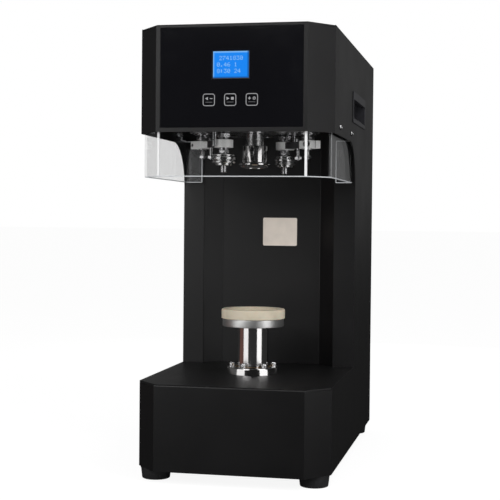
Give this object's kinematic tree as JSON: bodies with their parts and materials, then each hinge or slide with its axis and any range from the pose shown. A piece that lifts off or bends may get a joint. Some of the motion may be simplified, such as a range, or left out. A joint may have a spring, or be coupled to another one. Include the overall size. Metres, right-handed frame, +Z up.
{
  "type": "can seamer",
  "caption": "Desktop can seamer: a C-shaped casing with a screw-driven lift for the can and a cam-fed roller head behind a clear guard.",
  "frame": {"origin": "middle of the footprint, on the plane that the feet stand on", "axes": "+Z up, -Y towards the operator in front, +X to the right of someone facing the machine"},
  "size_m": [0.2544, 0.47, 0.575],
  "materials": {
    "casing_paint": "fine matte black powder coat",
    "zinc_sheet": "plain zinc plated sheet",
    "machined_steel": "fine turned and milled steel",
    "roller_steel": "ground hardened tool steel",
    "polished_chrome": "polished hard chrome",
    "bright_fastener": "bright stainless fasteners",
    "turned_aluminium": "satin turned aluminium",
    "bronze": "plain bearing bronze",
    "nylon_pad": "off-white engineering nylon",
    "clear_guard": "clear bent acrylic sheet",
    "black_glass": "back-painted black glass",
    "display_blue": "lit blue display",
    "circuit_board": "green solder mask",
    "pale_label": "plain pale film",
    "black_plastic": "fine grained black plastic",
    "foot_rubber": "black rubber",
    "belt_rubber": "black belt",
    "motor_paint": "black motor housings",
    "guard_fibre": "black spacer plastic"
  },
  "bodies": {
    "casing": {"side_panel_left": "casing_paint", "side_panel_right": "casing_paint", "head_cover": "casing_paint", "column_front_sheet": "casing_paint", "base_cover": "casing_paint", "base_plate": "zinc_sheet", "rear_panel": "casing_paint", "casing_screws": "bright_fastener", "guard_window": "clear_guard", "guard_spacers": "guard_fibre", "carry_handle_left": "black_plastic", "carry_handle_right": "black_plastic", "rubber_feet": "foot_rubber", "control_glass": "black_glass", "display_module": "display_blue", "control_board": "circuit_board", "blank_label": "pale_label", "power_inlet": "black_plastic", "head_plate": "machined_steel", "spindle_housing": "turned_aluminium", "spindle_bearings": "machined_steel", "centre_shaft": "machined_steel", "chuck": "polished_chrome", "shaft_bridge": "turned_aluminium", "drive_motor": "motor_paint", "drive_belts": "belt_rubber", "ram_flange": "polished_chrome", "flange_screws": "bright_fastener", "ram_guide": "bronze", "lift_frame": "zinc_sheet", "lift_motor": "motor_paint", "power_supply": "zinc_sheet", "motor_driver": "turned_aluminium"},
    "rocker": {"power_rocker": "black_plastic"},
    "carrier": {"carrier_disc": "machined_steel", "carrier_sleeve": "machined_steel", "carrier_pulley": "turned_aluminium", "pivot_bushes": "machined_steel", "return_springs": "machined_steel"},
    "first_arm": {"first_roller_arm": "machined_steel", "first_arm_shaft": "machined_steel", "first_arm_screws": "bright_fastener", "first_cam_lever": "roller_steel", "first_roller_stud": "roller_steel"},
    "second_arm": {"second_roller_arm": "machined_steel", "second_arm_shaft": "machined_steel", "second_arm_screws": "bright_fastener", "second_cam_lever": "roller_steel", "second_roller_stud": "roller_steel"},
    "first_roller": {"first_roller": "roller_steel"},
    "second_roller": {"second_roller": "roller_steel"},
    "cam": {"feed_cam": "roller_steel", "cam_sleeve": "machined_steel", "cam_pulley": "turned_aluminium"},
    "motor_rotor": {"motor_pulleys": "turned_aluminium"},
    "lift": {"can_pad": "nylon_pad", "lift_plate": "turned_aluminium", "lift_ram": "polished_chrome", "lift_nut": "bronze"},
    "screw": {"lead_screw": "machined_steel"}
  },
  "joints": [
    {"name": "lift_slide", "type": "slide", "parent": "casing", "child": "lift", "axis": [0, 0, 1], "range_m": [0, 0.042]},
    {"name": "screw_spin", "type": "hinge", "parent": "casing", "child": "screw", "pos_m": [0, -0.086, 0.08], "axis": [0, 0, 1], "range_deg": [-1261, 0]},
    {"name": "carrier_spin", "type": "hinge", "parent": "casing", "child": "carrier", "pos_m": [0, -0.086, 0.455], "axis": [0, 0, 1], "continuous": true},
    {"name": "cam_spin", "type": "hinge", "parent": "casing", "child": "cam", "pos_m": [0, -0.086, 0.471], "axis": [0, 0, 1], "continuous": true},
    {"name": "motor_spin", "type": "hinge", "parent": "casing", "child": "motor_rotor", "pos_m": [0, 0.11, 0.5], "axis": [0, 0, 1], "continuous": true},
    {"name": "first_arm_swing", "type": "hinge", "parent": "carrier", "child": "first_arm", "pos_m": [-0.0724, -0.086, 0.434], "axis": [0, 0, 1], "range_deg": [0, 7], "stiffness_Nm_per_rad": 0.6, "springref_deg": -5.73},
    {"name": "second_arm_swing", "type": "hinge", "parent": "carrier", "child": "second_arm", "pos_m": [0.0724, -0.086, 0.434], "axis": [0, 0, 1], "range_deg": [0, 7], "stiffness_Nm_per_rad": 0.6, "springref_deg": -5.73},
    {"name": "first_roller_spin", "type": "hinge", "parent": "first_arm", "child": "first_roller", "pos_m": [-0.036, -0.116, 0.412], "axis": [0, 0, 1], "continuous": true},
    {"name": "second_roller_spin", "type": "hinge", "parent": "second_arm", "child": "second_roller", "pos_m": [0.036, -0.056, 0.412], "axis": [0, 0, 1], "continuous": true},
    {"name": "rocker_tilt", "type": "hinge", "parent": "casing", "child": "rocker", "pos_m": [-0.07, 0.231, 0.088], "axis": [-1, 0, 0], "range_deg": [0, 20]}
  ],
  "couplings": [
    {"joint": "screw_spin", "follows": "lift_slide", "rad_per_m": -523.6},
    {"joint": "cam_spin", "follows": "carrier_spin", "ratio": 1.0169},
    {"joint": "motor_spin", "follows": "carrier_spin", "ratio": 2.5}
  ]
}
